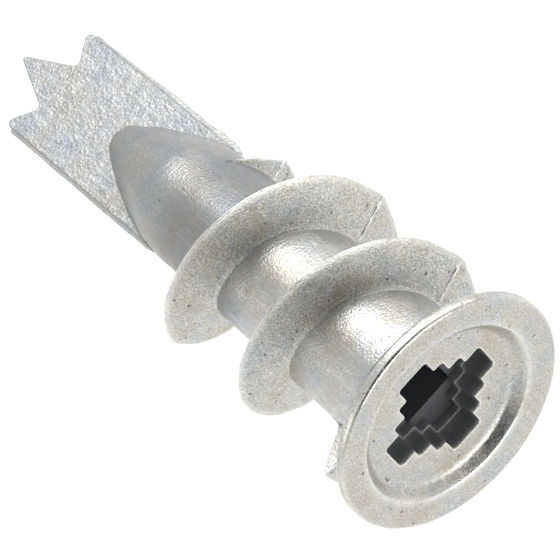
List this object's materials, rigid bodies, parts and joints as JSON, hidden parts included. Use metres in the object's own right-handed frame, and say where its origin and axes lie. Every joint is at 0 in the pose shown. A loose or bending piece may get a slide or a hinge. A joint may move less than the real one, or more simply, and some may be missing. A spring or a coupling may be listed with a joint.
{
  "type": "wall anchor",
  "caption": "Die-cast self-drilling wall anchor: toothed drill blade, coarse outer thread, dished flange with a cross driver recess and a screw bore.",
  "frame": {"origin": "on the anchor's axis, in the plane of the wall's face, where the underside of the flange rests on the board", "axes": "+Y along the axis into the wall, towards the drill point; the flange faces -Y; +Z square to the flat drill blade; +X across the blade's width"},
  "size_m": [0.0142, 0.0379, 0.0142],
  "materials": {
    "zinc_flange": "as-cast zinc alloy, satin, warm grey",
    "zinc_barrel": "as-cast zinc alloy, satin",
    "zinc_thread": "as-cast zinc alloy, fine sandy texture",
    "zinc_blade": "as-cast zinc alloy, sparkling grain"
  },
  "bodies": {
    "root": {"head_flange": "zinc_flange", "barrel": "zinc_barrel", "nose_front": "zinc_barrel", "nose_rear": "zinc_barrel", "drill_blade": "zinc_blade", "thread_lead_in": "zinc_thread", "thread_rear_1": "zinc_thread", "thread_front_1": "zinc_thread", "thread_rear_2": "zinc_thread", "thread_front_2": "zinc_thread", "thread_rear_3": "zinc_thread"}
  },
  "joints": []
}
